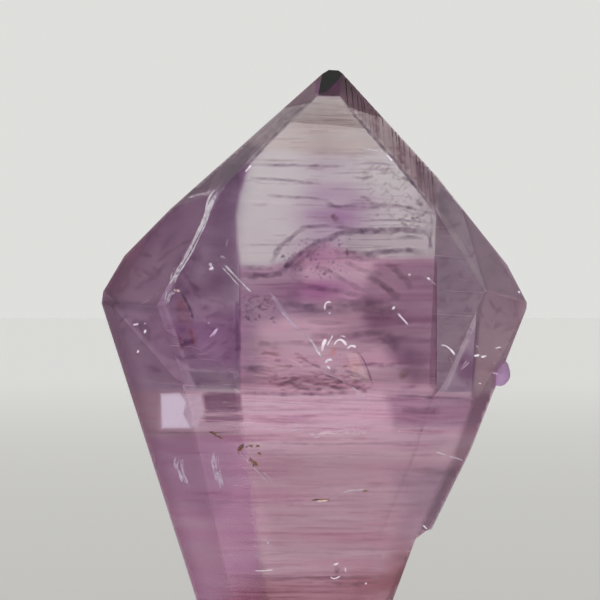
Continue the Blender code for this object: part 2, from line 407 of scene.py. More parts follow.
ZONES = {
    "band_main": (((241, 391), (506, 391), (490, 431), (245, 431)), "pink", 0.95, 1.5),
    "band_side": (((122, 391), (241, 391), (245, 431), (138, 431)), "pink", 0.90, 1.5),
    "band_left": (((122, 391), (160, 391), (160, 431), (138, 431)), "smoke", 0.9, 3),
    # Painted shade: dark plum patches in the band, put where it looks shaded.
    "band_shadow": (((203, 394), (241, 393), (242, 411), (206, 412)), "plum", 0.80, 1.5),
    "band_shadow_low": (((204, 416), (242, 415), (244, 421), (206, 422)), "plum", 0.55, 1.5),
    "band_right_shade": (((386, 393), (506, 391), (490, 430), (394, 428)), "plum", 0.66, 6),
    "body_main": (((245, 430), (492, 430), (432, 540), (378, 655), (270, 655)), "rose", 0.95, 1.5),
    "body_side": (((138, 430), (245, 430), (270, 655), (212, 655)), "rose", 0.85, 1.5),
    "body_left": (((138, 430), (222, 430), (232, 480), (220, 520), (170, 500)), "slate", 0.42, 12),
    "body_upper": (((250, 450), (486, 446), (470, 484), (420, 510), (300, 503), (255, 498)), "smoke",
        0.66, 10),
    "body_right": (((392, 470), (474, 466), (432, 545), (400, 600), (396, 560), (402, 500)), "slate",
        0.50, 12),
    "body_flush": (((134, 436), (246, 436), (270, 655), (212, 655)), "orchid", 0.58, 4),
    "body_middle": (((264, 506), (425, 502), (405, 558), (272, 556)), "smoke", 0.60, 10),
    "body_low": (((246, 556), (420, 548), (378, 655), (264, 655)), "smoke", 0.42, 14),
    "foot": (((236, 582), (412, 572), (378, 655), (212, 655)), "wine", 0.68, 14),
}
ZONE_UNEVEN, PATCH_CHANGE = 0.22, 0.7
LEVEL_PATCH, ROUND_PATCH = (0.012, 0.07), (0.035, 0.035)
LAYER_THICK = 0.012
FIRST_LAYER, LAYER_GAP = 0.40, 0.015
FAINTEST = 0.01
SKIN = 0.01
NEAR_SHARE, SHARE_PER_MM = 0.22, 0.14
FOOT_CLEAR = 0.20
upright = Matrix.Rotation(LEAN, 3, "Y")
view_start = UNLEAN @ VIEW_PLACE


def seen(px, py, below, bent=True):
    """The place inside the stone that the view shows at px, py, that far in along the view."""
    way = Vector(((px - PICTURE / 2) / PER_MM, VIEW_FROM, (PICTURE / 2 - py) / PER_MM))
    way = (UNLEAN.to_3x3() @ way).normalized()
    point, normal = outside.ray_cast(view_start, way)[:2]
    if point is None:
        return None
    if bent:
        facing = -normal.dot(way) / IOR
        way = way / IOR + normal * (facing - math.sqrt(1.0 - 1.0 / IOR ** 2 + facing ** 2))
        way.normalize()
    through = outside.ray_cast(point + way * SKIN, way)[3] or 0.0
    place = upright @ (point + way * min(below, through * (NEAR_SHARE + SHARE_PER_MM * below)))
    return place if place.z > FOOT_CLEAR else None


def depth_inside(px, py, outline):
    """How far inside an outline a place of the view lies, below nothing outside it."""
    nearest, inside = math.inf, False
    for (ax, ay), (bx, by) in zip(outline, outline[1:] + outline[:1]):
        run_x, run_y = bx - ax, by - ay
        along = ((px - ax) * run_x + (py - ay) * run_y) / (run_x * run_x + run_y * run_y)
        along = min(1.0, max(0.0, along))
        nearest = min(nearest, math.hypot(px - ax - along * run_x, py - ay - along * run_y))
        if (ay > py) != (by > py) and px < ax + (py - ay) * run_x / run_y:
            inside = not inside
    return nearest if inside else -nearest


def smooth(value):
    value = min(1.0, max(0.0, value))
    return value * value * (3.0 - 2.0 * value)


def stained(fade, tint):
    return (*[1.0 - fade * (1.0 - part) for part in tint], fade)


def new_plates():
    mesh = bmesh.new()
    return mesh, mesh.verts.layers.float_color.new("tint")


def lay_plate(plates, grid):
    """Adds a thin closed layer: grid maps a row and column to a place and its colour there."""
    mesh, colour = plates
    pairs = {}
    for key, (point, value) in grid.items():
        pairs[key] = []
        for back in (0.0, LAYER_THICK):
            corner = mesh.verts.new((point + TO_ROW + Vector((0.0, back, 0.0))) * MM)
            corner[colour] = value
            pairs[key].append(corner)
    rims = set()
    for row, column in grid:
        ring = [(row, column), (row, column + 1), (row + 1, column + 1), (row + 1, column)]
        if all(key in grid for key in ring) and any(grid[key][1][3] > FAINTEST for key in ring):
            mesh.faces.new([pairs[key][0] for key in ring])
            mesh.faces.new([pairs[key][1] for key in reversed(ring)])
            for side in zip(ring, ring[1:] + ring[:1]):
                rims ^= {side} if side[::-1] not in rims else {side[::-1]}
    for first, second in sorted(rims):
        mesh.faces.new((pairs[second][0], pairs[first][0], pairs[first][1], pairs[second][1]))


def lay_area(plates, box, step, below, bent, colour_at, sides=(0.0, PICTURE)):
    """Adds a layer over a box of the view, between two sides, coloured by colour_at."""
    left, top, right, bottom = box
    grid = {}
    for row in range(int((bottom - top) / step) + 2):
        py = top + row * step
        for column in range(int((right - left) / step) + 2):
            px = left + column * step
            if not sides[0] - step < px < sides[1] + step:
                continue
            px = min(sides[1], max(sides[0], px))
            point = seen(px, py, below, bent)
            if point:
                grid[(row, column)] = point, colour_at(px, py)
    lay_plate(plates, grid)


def box_round(outline, wider):
    columns = [px for px, _ in outline]
    rows = [py for _, py in outline]
    return min(columns) - wider, min(rows) - wider, max(columns) + wider, max(rows) + wider


def edge_fade(px, py, outline, soft):
    return smooth(depth_inside(px, py, outline) / (2.0 * soft) + 0.5)


def lay_zone(plates, zone, layer, patch, **between):
    """Adds a layer of violet inside an outline as seen, uneven by patches."""
    outline, tint, strength, soft = zone

    def colour_at(px, py):
        uneven = noise.noise((px * patch[0], py * patch[1], layer * PATCH_CHANGE))
        fade = edge_fade(px, py, outline, soft) * strength * (1.0 + ZONE_UNEVEN * uneven)
        return stained(fade, TINTS[tint])

    lay_area(plates, box_round(outline, soft), min(5.0, max(2.0, soft * 0.7)),
             FIRST_LAYER + layer * LAYER_GAP, False, colour_at, **between)


def finish_plates(plates, name, look):
    mesh = plates[0]
    loose = [corner for corner in mesh.verts if not corner.link_faces]
    bmesh.ops.delete(mesh, geom=loose, context="VERTS")
    piece = as_object(mesh, name, look)
    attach(piece, "root")
    return piece


def tint_look(name, grain_scale, grain_strength):
    """A clear stain: what passes takes the tint of the layer, with a fine grain."""
    look, surface, paint = new_look(name)
    grain = paint.place().scaled(grain_scale).grain(1.0, 5.0)
    strength = grain.step(0.25, 0.75) * (2.0 * grain_strength) + (1.0 - grain_strength)
    strength.blend(CLEAR, paint.tint(0)).drive(surface, "Base Color")
    surface.inputs["Roughness"].default_value = 0.0
    surface.inputs["IOR"].default_value = 1.0
    surface.inputs["Transmission Weight"].default_value = 1.0
    return look


plates = new_plates()
for layer, zone in enumerate(WINDOW_ZONES.values()):
    lay_zone(plates, zone, layer, LEVEL_PATCH, sides=WINDOW_SIDES)
for layer, zone in enumerate(ZONES.values(), len(WINDOW_ZONES)):
    lay_zone(plates, zone, layer, LEVEL_PATCH)
zone_look = tint_look("growth_violet", (45.0, 120.0, 1500.0), 0.16)
growth_zones = finish_plates(plates, "growth_zones", zone_look)


# Side violets: the same violet under the side faces and the strips beside the tip, where the
# younger crystal's own faces show it dark and cloudy. Given like the growth zones.
SIDES = {
    "tip_facet": (((317, 69), (342, 69), (340, 96), (317, 96)), "violet", 0.95, 1.2),
    "tip_flush": (((316, 69), (344, 69), (341, 96), (317, 96)), "orchid", 1.0, 1.2),
    "left_strip": (((317, 73), (317, 96), (262, 150), (246, 164), (226, 182), (166, 206), (244, 130),
        (284, 94)), "smoke", 0.75, 2.5),
    "left_strip_low": (((244, 140), (262, 150), (246, 164), (224, 184), (166, 210), (200, 172)), "plum",
        0.84, 6),
    "right_strip": (((341, 72), (340, 96), (394, 160), (433, 210), (440, 180), (400, 132), (370, 100)),
        "smoke", 0.3, 2),
    "right_strip_warm": (((341, 72), (340, 96), (394, 160), (433, 210), (440, 180), (400, 132),
        (370, 100)), "wine", 0.48, 2),
    "right_strip_low": (((404, 150), (436, 212), (448, 215), (444, 184), (424, 158)), "plum", 0.52, 8),
    "left_deep": (((226, 182), (252, 158), (246, 175), (241, 192), (236, 215), (237, 240), (240, 264),
        (240, 300), (240, 372), (190, 369), (180, 345), (166, 306), (180, 268), (198, 235)), "plum",
        0.78, 2.5),
    "left_deep_top": (((252, 158), (246, 175), (241, 192), (236, 215), (237, 240), (240, 264),
        (240, 300), (172, 296), (180, 268), (198, 235), (226, 182)), "plum", 0.30, 8),
    "left_deep_flush": (((226, 182), (252, 158), (241, 192), (236, 215), (240, 264), (240, 372),
        (190, 369), (180, 345), (166, 306), (180, 268), (198, 235)), "orchid", 0.42, 4),
    "left_deep_low": (((170, 320), (240, 316), (240, 372), (190, 369), (176, 345)), "orchid", 0.5, 14),
    "left_foot": (((188, 370), (240, 372), (240, 389), (196, 389)), "plum", 0.80, 2.5),
    "left_face": (((96, 302), (98, 280), (112, 256), (140, 226), (166, 200), (186, 192), (226, 182),
        (198, 235), (166, 306), (150, 312)), "plum", 0.52, 4),
    "left_flush": (((96, 302), (98, 280), (140, 226), (186, 192), (226, 182), (198, 235), (166, 306),
        (186, 366), (196, 390), (122, 392)), "orchid", 0.6, 6),
    "left_low": (((96, 300), (166, 306), (186, 366), (160, 352), (120, 310)), "plum", 0.68, 3),
    "left_side": (((96, 300), (120, 310), (160, 352), (186, 366), (196, 390), (118, 392)), "plum", 0.44,
        3),
    "right_inner": (((436, 210), (462, 250), (484, 290), (478, 310), (442, 391), (436, 391)), "plum",
        0.63, 2),
    "right_high": (((436, 210), (434, 198), (442, 180), (463, 208), (484, 290), (462, 250)), "plum",
        0.78, 2),
    "right_shoulder": (((463, 208), (528, 300), (524, 302), (484, 290)), "plum", 0.56, 2),
    "right_flush": (((484, 290), (528, 302), (508, 391), (470, 391), (478, 310)), "wine", 0.36, 2),
    "right_wedge": (((478, 310), (470, 391), (442, 391)), "plum", 0.90, 2),
}
plates = new_plates()
for layer, zone in enumerate(SIDES.values(), len(WINDOW_ZONES) + len(ZONES)):
    lay_zone(plates, zone, layer, ROUND_PATCH)
side_look = tint_look("side_violet", (260.0, 300.0, 420.0), 0.16)
side_violets = finish_plates(plates, "side_violets", side_look)


# Violet clouds: soft round patches where the colour is deeper still, by their middle and half
# sizes as seen, the name of their tint and their strength.
CLOUDS = {
    "heart": (338, 217, 32, 24, "violet", 0.90), "window_haze": (328, 176, 24, 20, "violet", 0.35),
    "heart_low": (312, 250, 24, 12, "violet", 0.55), "beige_streak": (325, 142, 22, 26, "smoke", 0.50),
    "top_right": (372, 142, 20, 14, "smoke", 0.45), "window_corner": (430, 205, 12, 18, "plum", 0.35),
    "core": (322, 291, 36, 10, "violet", 0.85), "core_left": (270, 288, 24, 12, "smoke", 0.40),
    "row_left": (300, 308, 26, 7, "slate", 0.85), "row_right": (350, 312, 44, 8, "plum", 0.50),
    "right_blue": (410, 360, 20, 18, "slate", 0.75), "right_deep": (372, 334, 34, 14, "plum", 0.50),
        "right_foot": (392, 376, 20, 9, "smoke", 0.50),
    "left_foot_dark": (250, 378, 12, 11, "plum", 0.35),
    "left_column": (248, 345, 12, 34, "slate", 0.80), "mid_left": (262, 345, 20, 7, "smoke", 0.60),
    "low_dark": (292, 384, 34, 5, "wine", 0.45), "low_middle": (345, 385, 30, 5, "wine", 0.30),
    "face_heart": (166, 226, 34, 40, "violet", 0.42), "face_low": (122, 322, 20, 26, "violet", 0.15),
    "deep_top": (232, 185, 14, 30, "slate", 0.50), "deep_side": (226, 232, 12, 26, "slate", 0.35),
    "deep_rose": (184, 322, 12, 20, "wine", 0.12), "deep_violet": (208, 330, 30, 36, "violet", 0.20),
    "side_top": (446, 222, 12, 22, "smoke", 0.80), "side_blue": (448, 285, 12, 26, "slate", 0.30),
    "side_low": (482, 370, 26, 14, "wine", 0.30), "side_pale": (500, 300, 18, 20, "violet", 0.15),
    "band_edge": (455, 408, 34, 12, "slate", 0.25), "body_left": (170, 450, 22, 14, "violet", 0.20),
    "body_middle": (310, 462, 60, 10, "smoke", 0.20), "band_deep": (492, 400, 14, 14, "plum", 0.30),
    "body_edge": (436, 478, 30, 14, "slate", 0.35), "body_step": (440, 510, 14, 12, "slate", 0.60),
        "body_right": (425, 440, 30, 8, "slate", 0.50),
    "foot_left": (262, 590, 30, 10, "wine", 0.25), "foot_right": (376, 580, 26, 16, "wine", 0.60),
    "foot_edge": (398, 566, 14, 26, "wine", 0.80),
}
CLOUD_UNEVEN, CLOUD_PATCH = 0.45, (0.03, 0.08)


def lay_cloud(plates, cloud, layer):
    middle_x, middle_y, half_wide, half_tall, tint, strength = cloud

    def colour_at(px, py):
        uneven = noise.noise((px * CLOUD_PATCH[0], py * CLOUD_PATCH[1], layer * PATCH_CHANGE))
        away = math.hypot((px - middle_x) / half_wide, (py - middle_y) / half_tall)
        return stained(smooth(1.0 - 0.5 * away) * strength * (1.0 + CLOUD_UNEVEN * uneven), TINTS[tint])

    wide, tall = 2.0 * half_wide, 2.0 * half_tall
    lay_area(plates, (middle_x - wide, middle_y - tall, middle_x + wide, middle_y + tall),
             max(2.0, min(half_wide, half_tall) / 4.0), FIRST_LAYER + layer * LAYER_GAP, False, colour_at)


plates = new_plates()
for layer, cloud in enumerate(CLOUDS.values(), len(WINDOW_ZONES) + len(ZONES) + len(SIDES)):
    lay_cloud(plates, cloud, layer)
cloud_look = tint_look("cloud_violet", (150.0, 200.0, 900.0), 0.35)
violet_clouds = finish_plates(plates, "violet_clouds", cloud_look)


# Phantom outlines: dark lines and arcs where the crystal once stopped and grew on, the faces of
# its younger self. Each is a fine dusting laid as a narrow soft ribbon through places as seen,
# with its width and how dark it is. A few are painted shade instead: round the chips, under the
# small ball and in the middle of the bubble.
PHANTOMS = {
    "ridge_left": (((316, 96), (300, 110), (280, 130), (262, 149), (246, 167)), 2.2, 0.85),
    "ridge_right": (((340, 97), (371, 134), (394, 160), (412, 182), (432, 208)), 2.6, 0.9),
    "ridge_top": (((318, 95), (338, 95)), 1.8, 0.7),
    "bar_1_left": (((252, 164), (285, 165), (315, 166), (345, 166)), 2.4, 0.6),
    "bar_1_right": (((352, 164), (375, 163), (395, 165)), 2.2, 0.5),
    "bar_2": (((250, 178), (285, 180), (322, 184)), 2.4, 0.62),
    "bar_2_right": (((352, 177), (362, 178), (374, 177)), 2.2, 0.5),
    "bar_3_left": (((267, 195), (290, 197), (312, 198), (330, 201)), 2.4, 0.5),
    "bar_3_mid": (((325, 203), (340, 206), (358, 206)), 3.0, 0.6),
    "bar_3_right": (((368, 208), (385, 205), (404, 207), (425, 211)), 2.8, 0.5),
    "bar_4": (((358, 221), (395, 220), (431, 223)), 2.0, 0.6),
    "bar_4_low": (((366, 226), (400, 225), (428, 228)), 1.4, 0.4),
    "bar_5_left": (((300, 227), (325, 226), (352, 228)), 3.0, 0.6),
    "bar_5": (((340, 232), (362, 231), (385, 231), (405, 230), (431, 232)), 5.0, 0.95),
    "bar_6": (((395, 239), (410, 237), (424, 239)), 3.0, 0.6),
    "bar_7": (((335, 251), (352, 253), (366, 254), (395, 251), (425, 252)), 5.0, 0.8),
    "bar_7_low": (((345, 257), (365, 259), (380, 258)), 4.0, 0.5),
    "bar_8": (((241, 275), (262, 276), (282, 274)), 5.5, 0.85),
    "bar_8_high": (((241, 268), (255, 268), (273, 269)), 4.0, 0.6),
    "bar_9": (((241, 245), (262, 245), (292, 245)), 2.0, 0.3),
    "frame_right": (((425, 232), (429, 238), (431, 250)), 3.0, 0.6),
    "frame_right_low": (((430, 212), (432, 228), (428, 252)), 2.4, 0.4),
    "arc_1": (((306, 227), (298, 231), (290, 238), (284, 243), (278, 250), (271, 263)), 4.2, 0.62),
    "arc_2": (((352, 232), (340, 234), (325, 240), (312, 246), (300, 254), (288, 264), (278, 277)), 5.0,
        0.85),
    "arc_2_low": (((330, 245), (314, 251), (302, 260), (292, 270)), 4.0, 0.5),
    "arc_dust": (((318, 250), (306, 258), (297, 266), (288, 276)), 9.0, 0.45),
    "slant_1": (((366, 274), (382, 285), (400, 298)), 6.0, 0.7),
    "slant_2": (((345, 262), (362, 270), (385, 276)), 4.0, 0.4),
    "slant_3": (((312, 266), (330, 272), (346, 282), (368, 292)), 4.0, 0.4),
    "slant_4": (((296, 282), (318, 288), (345, 292), (372, 300)), 4.0, 0.5),
    "slant_5": (((385, 262), (398, 272), (412, 290)), 5.0, 0.5),
    "slant_6": (((330, 300), (352, 303), (384, 303)), 6.0, 0.45),
    "row_1": (((283, 303), (300, 306), (322, 308)), 6.0, 0.5),
    "row_2": (((330, 311), (355, 307), (378, 309), (405, 314)), 8.0, 0.5),
    "row_3": (((257, 345), (268, 344), (279, 346)), 5.0, 0.5),
    "row_4": (((384, 336), (392, 342), (402, 346)), 10.0, 0.55),
    "row_5": (((404, 352), (415, 360), (425, 368)), 12.0, 0.3),
    "row_6": (((350, 335), (365, 333), (385, 334)), 5.0, 0.45),
    "row_7": (((248, 368), (256, 369), (264, 368)), 5.0, 0.45),
    "rough_1": (((276, 386), (290, 383), (300, 388), (322, 390)), 3.6, 0.8),
    "rough_2": (((300, 380), (322, 384), (345, 391)), 3.0, 0.7),
    "rough_3": (((318, 372), (332, 377), (352, 386), (366, 392)), 2.2, 0.6),
    "rough_4": (((252, 377), (275, 379), (300, 377)), 2.4, 0.5),
    "rough_5": (((300, 357), (312, 364), (326, 370)), 2.0, 0.5),
    "leaf_edge": (((357, 351), (365, 363), (373, 385)), 1.3, 0.9),
    "leaf_foot": (((344, 370), (358, 375), (370, 382)), 2.6, 0.7),
    # Painted shade: dark under the small ball and inside the bubble.
    "ball_shade": (((326, 369), (331, 372), (337, 369)), 5.0, 0.55),
    "bubble_shade": (((329, 305), (329, 310)), 4.6, 0.75),
    "step_1": (((240, 393), (280, 394), (320, 394), (356, 393)), 3.0, 0.75),
    "step_2": (((204, 392), (222, 394), (238, 393)), 3.0, 0.6),
    "step_3": (((396, 396), (425, 397), (470, 399)), 2.6, 0.5),
    "step_4": (((400, 409), (420, 411), (440, 410)), 6.0, 0.55),
    "fracture_left": (((181, 291), (187, 303), (192, 314), (193, 323)), 2.0, 0.7),
    "cut_1": (((157, 262), (172, 250), (190, 240)), 3.0, 0.4),
    "cut_2": (((138, 286), (152, 277), (168, 262)), 4.0, 0.4),
    "cut_3": (((113, 245), (124, 262), (128, 290)), 5.0, 0.25),
    # Painted shade round the bright chips on the left face.
    "chip_shade": (((133, 322), (146, 328), (143, 346)), 8.0, 0.5),
    "body_line_1": (((145, 432), (190, 433), (240, 432)), 2.0, 0.5),
    "body_line_2": (((260, 443), (330, 444), (420, 443)), 2.0, 0.4),
    "body_line_3": (((410, 470), (440, 472), (470, 471)), 5.0, 0.35),
    "foot_line": (((225, 577), (290, 578), (400, 576)), 2.2, 0.4),
    "foot_line_2": (((330, 583), (352, 585), (380, 582)), 3.0, 0.4),
    "low_mark": (((334, 570), (340, 572)), 7.0, 0.5),
}
RUST = {
    "rust_streak": (((190, 328), (192, 337), (192, 347)), 3.6, (1.00, 0.55, 0.45)),
    "rust_streak_2": (((178, 333), (180, 341), (183, 350)), 2.6, (0.70, 0.45, 0.50)),
    "brown_spot": (((333, 213), (335, 217), (338, 221)), 4.6, (0.42, 0.28, 0.32)),
    "brown_mark": (((399, 379), (404, 374), (410, 371)), 6.0, (0.62, 0.50, 0.48)),
    "rust_glow": (((331, 349), (337, 353)), 6.0, (1.00, 0.70, 0.60)),
    "rust_leaf": (((350, 358), (358, 372)), 14.0, (1.00, 0.86, 0.80)),
    "rust_wedge": (((180, 296), (184, 312), (187, 326)), 8.0, (0.90, 0.66, 0.64)),
    "violet_gleam": (((238, 300), (238, 330), (238, 360)), 4.0, (0.70, 0.50, 0.70)),
}
STRIP_LINES = ((343, 2.7, 0.34), (347, 2.0, 0.22), (351, 2.7, 0.30), (357, 4.1, 0.38), (361, 2.4, 0.30),
    (365, 5.1, 0.41), (369, 2.7, 0.38), (374, 5.3, 0.95), (383, 2.0, 0.22), (388, 3.4, 0.38),
    (392, 3.1, 0.38), (399, 6.2, 1.00), (404, 3.7, 0.38), (409, 2.7, 0.30), (413, 3.1, 0.38),
    (418, 6.2, 0.95), (424, 3.7, 0.45), (430, 6.9, 0.60))
STRIP_RIDGE = ((340, 72), (376, 104), (402, 135), (440, 181))
STRIP_FOOT = ((339, 97), (371, 134), (394, 160), (433, 209))
STRIP_TINT = (0.56, 0.42, 0.50)
STRIP_SLANT = 4.0
LEFT_STRIP_LINES = ((0.18, 1.6, 0.35), (0.36, 2.4, 0.45), (0.52, 1.6, 0.4), (0.66, 3.0, 0.6),
                    (0.82, 1.6, 0.5))
LEFT_RIDGE = ((318, 76), (290, 98), (252, 133), (206, 178))
LEFT_FOOT = ((316, 95), (290, 121), (262, 149), (232, 178))
PHANTOM_TINT = (0.36, 0.26, 0.37)
LINE_SOFT, HAIR_SOFT = (0.0, 0.75, 1.0, 0.75, 0.0), (0.0, 1.0, 0.0)
LINE_STEP, HAIR_STEP = 2.0, 2.2
LINE_SPREAD, HAIR_SPREAD = 1.6, 2.0
LINE_LAYER, LINE_GAP = 0.24, 0.002
LINE_BROKEN, RUST_BROKEN, STRIP_BROKEN, LEFT_STRIP_BROKEN = 0.6, 0.3, 0.5, 0.8
BREAK_RATE, WOBBLE, WOBBLE_RATE, SWELL, SWELL_RATE = 0.13, 0.25, 0.09, 0.5, 0.15


def along_route(route, step):
    """Evenly spaced places on a smooth curve through the route's own points."""
    ends = [Vector(route[0]) * 2.0 - Vector(route[1])] + [Vector(point) for point in route]
    ends.append(Vector(route[-1]) * 2.0 - Vector(route[-2]))
    places = []
    for before, first, second, after in zip(ends, ends[1:], ends[2:], ends[3:]):
        count = max(2, int((second - first).length / step))
        for index in range(count):
            t = index / count
            places.append(0.5 * (2.0 * first + (second - before) * t
                                 + (2.0 * before - 5.0 * first + 4.0 * second - after) * t * t
                                 + (3.0 * first - before - 3.0 * second + after) * t ** 3))
    places.append(ends[-2])
    return places


def uneven_at(point, rate, seed):
    return noise.noise((point.x * rate, point.y * rate, seed))


def lay_line(plates, route, below, width, paint_over, broken, seed, step=None,
             profile=LINE_SOFT, spread=LINE_SPREAD):
    """Adds a soft ribbon along a route, thinning out at both ends and broken as it goes."""
    places = along_route(route, step or min(LINE_STEP, max(0.8, width * 0.6)))
    grid = {}
    for row, middle in enumerate(places):
        ahead = places[min(row + 1, len(places) - 1)] - places[max(row - 1, 0)]
        side = Vector((-ahead.y, ahead.x)).normalized()
        ends = min(1.0, 0.2 + 4.0 * min(row, len(places) - 1 - row) / len(places))
        strength = ends * (1.0 + broken * uneven_at(middle, BREAK_RATE, seed))
        wobble = WOBBLE * width * uneven_at(middle, WOBBLE_RATE, seed + 9.0)
        swell = 1.0 + SWELL * uneven_at(middle, SWELL_RATE, seed + 4.0)
        for column, fade in enumerate(profile):
            shift = side * ((column / (len(profile) - 1) - 0.5) * width * spread * swell + wobble)
            point = seen(*(middle + shift), below)
            if point:
                grid[(row, column)] = point, paint_over(fade * min(1.0, max(0.0, strength)))
    lay_plate(plates, grid)


def height_on(route, px):
    for (ax, ay), (bx, by) in zip(route, route[1:]):
        if px <= bx:
            return ay + (by - ay) * (px - ax) / (bx - ax)
    return route[-1][1]


def dusting(strength, tint):
    return lambda fade: stained(fade * strength, tint)


plates = new_plates()
for seed, (route, width, strength) in enumerate(PHANTOMS.values()):
    lay_line(plates, route, LINE_LAYER + seed * LINE_GAP, width, dusting(strength, PHANTOM_TINT),
             LINE_BROKEN, seed)
for seed, (route, width, tint) in enumerate(RUST.values(), len(PHANTOMS)):
    lay_line(plates, route, LINE_LAYER + seed * LINE_GAP, width, dusting(1.0, tint), RUST_BROKEN, seed)
for px, width, strength in STRIP_LINES:
    high = (px, height_on(STRIP_RIDGE, px) + 1.5)
    low = (px + STRIP_SLANT, height_on(STRIP_FOOT, px + STRIP_SLANT) - 1.0)
    lay_line(plates, (high, low), LINE_LAYER, width, dusting(strength, STRIP_TINT), STRIP_BROKEN, px)
for share, width, strength in LEFT_STRIP_LINES:
    route = [Vector(high).lerp(Vector(low), share) for high, low in zip(LEFT_RIDGE, LEFT_FOOT)]
    lay_line(plates, route, LINE_LAYER, width, dusting(strength, STRIP_TINT), LEFT_STRIP_BROKEN,
             share * 50.0)
phantom_look = tint_look("phantom_dust", (1500.0, 1500.0, 2200.0), 0.45)
phantom_outlines = finish_plates(plates, "phantom_outlines", phantom_look)


# Growth striae: hundreds of fine level lines that each new layer left inside the prism, and
# worm-like marks and cracks where the window is mottled. Each group has its box as seen, count,
# lengths, widths, tint, and the most that its lines turn from level, in degrees.
END_LAYER = 0.10
STRIAE = {
    "window_top": ((258, 98, 395, 162), 60, (20, 90), (0.8, 2.0), (0.80, 0.72, 0.74), 1.5),
    "window": ((245, 165, 428, 262), 60, (16, 70), (0.8, 2.2), (0.72, 0.64, 0.70), 2.5),
    "window_low": ((242, 262, 434, 388), 90, (14, 60), (1.0, 4.0), (0.76, 0.65, 0.74), 6.0),
    "mottle": ((362, 166, 424, 216), 110, (4, 12), (1.2, 3.0), (0.72, 0.68, 0.70), 60.0),
    "mottle_dark": ((395, 200, 428, 226), 26, (4, 10), (1.2, 2.6), (0.55, 0.48, 0.50), 40.0),
    "crackle": ((244, 296, 276, 322), 60, (3, 8), (0.8, 1.8), (0.60, 0.48, 0.54), 80.0),
    "arc_grain": ((280, 238, 350, 280), 110, (1, 5), (0.9, 2.0), (0.50, 0.38, 0.52), 80.0),
    "rough": ((270, 374, 370, 392), 60, (5, 22), (0.9, 2.2), (0.55, 0.40, 0.48), 16.0),
    "rose": ((262, 352, 330, 378), 34, (5, 22), (0.9, 2.4), (0.68, 0.50, 0.54), 14.0),
    "leaf": ((340, 350, 372, 384), 20, (4, 12), (0.8, 1.6), (0.74, 0.56, 0.56), 25.0),
    "left": ((182, 300, 238, 385), 50, (6, 24), (1.0, 4.0), (0.72, 0.56, 0.74), 40.0),
    "left_face": ((112, 215, 200, 300), 50, (8, 34), (1.2, 6.0), (0.76, 0.62, 0.74), 60.0),
    "left_low": ((120, 310, 190, 388), 50, (5, 20), (1.2, 5.0), (0.76, 0.60, 0.72), 60.0),
    "right_face": ((438, 200, 515, 385), 110, (4, 20), (1.2, 6.0), (0.78, 0.68, 0.76), 70.0),
    "band": ((130, 394, 492, 430), 110, (20, 110), (0.8, 2.4), (0.84, 0.74, 0.81), 2.0),
    "body": ((150, 430, 480, 602), 420, (20, 150), (0.7, 2.2), (0.88, 0.79, 0.84), 1.6),
    "foot": ((196, 572, 400, 602), 60, (30, 120), (0.8, 2.2), (0.80, 0.66, 0.72), 1.2),
}
plates = new_plates()
for (left, top, right, bottom), count, (short, long), (thin, wide), tint, turn in STRIAE.values():
    for number in range(count):
        middle = Vector((lines.uniform(left, right), lines.uniform(top, bottom)))
        length = short + (long - short) * lines.random() ** 2
        slope = math.radians(turn * lines.uniform(-1.0, 1.0))
        half = Vector((math.cos(slope), math.sin(slope))) * length / 2.0
        bow = Vector((0.0, length * lines.uniform(-0.01, 0.015) * (1.0 + turn / 10.0)))
        strength = lines.uniform(0.25, 1.0)
        below = LINE_LAYER + lines.uniform(0.02, 0.14)
        width = lines.uniform(thin, wide)
        seed = lines.uniform(0.0, 99.0)
        if seen(*(middle - half), END_LAYER) and seen(*(middle + half), END_LAYER):
            lay_line(plates, (middle - half, middle + bow, middle + half), below, width,
                     dusting(strength, tint), LINE_BROKEN, seed, HAIR_STEP, HAIR_SOFT, HAIR_SPREAD)
striae_look = tint_look("striae_dust", (400.0, 900.0, 1400.0), 0.3)
growth_striae = finish_plates(plates, "growth_striae", striae_look)
